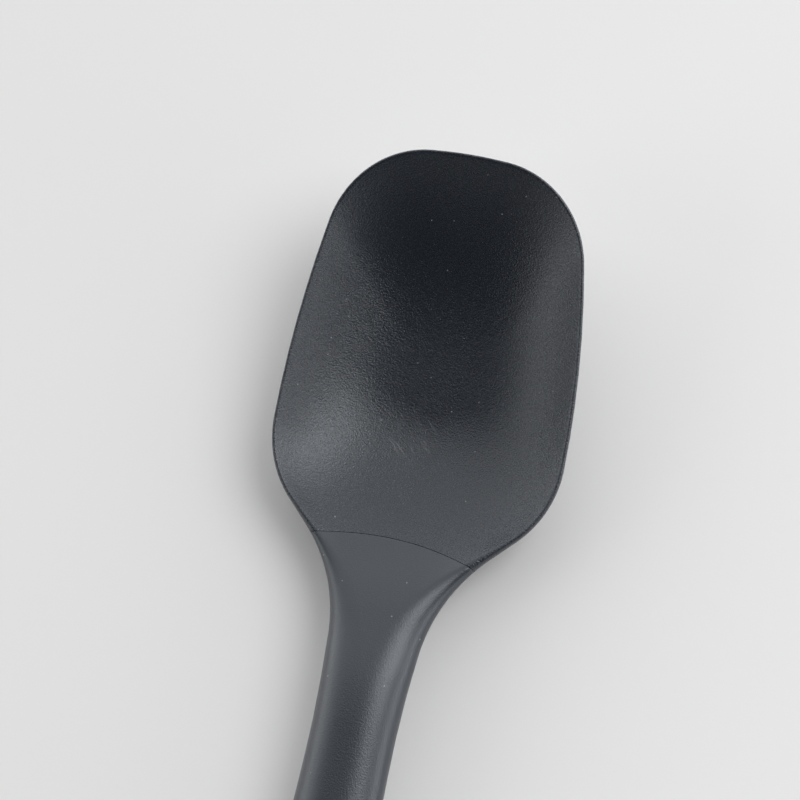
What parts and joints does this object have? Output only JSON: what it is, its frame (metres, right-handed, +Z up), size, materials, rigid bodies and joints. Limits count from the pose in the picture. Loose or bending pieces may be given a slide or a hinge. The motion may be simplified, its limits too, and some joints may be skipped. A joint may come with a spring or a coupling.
{
  "type": "basting spoon",
  "caption": "Long-handled spoon with a deep squared bowl, soft slate-grey silicone skins over a stiff metal and nylon core, and a hole to hang it by.",
  "frame": {"origin": "under the middle of the spoon's length, on its middle plane, on the surface that it lies on", "axes": "+X along the spoon from the handle to the tip of the bowl, +Y to the left seen from above with the tip ahead, +Z up out of the open bowl"},
  "size_m": [0.3, 0.0662, 0.0306],
  "materials": {
    "head_silicone": "satin moulded silicone with a fine speckled grain",
    "handle_silicone": "satin moulded silicone, a shade lighter than the head",
    "blade_steel": "plain rolled stainless sheet",
    "core_nylon": "plain moulded black nylon",
    "rivet_steel": "plain turned steel"
  },
  "bodies": {
    "root": {"head_skin": "head_silicone", "handle_skin": "handle_silicone", "core_blade": "blade_steel", "handle_core_upper": "core_nylon", "handle_core_lower": "core_nylon", "tang_rivet_1": "rivet_steel", "tang_rivet_2": "rivet_steel", "tang_rivet_3": "rivet_steel"}
  },
  "joints": []
}
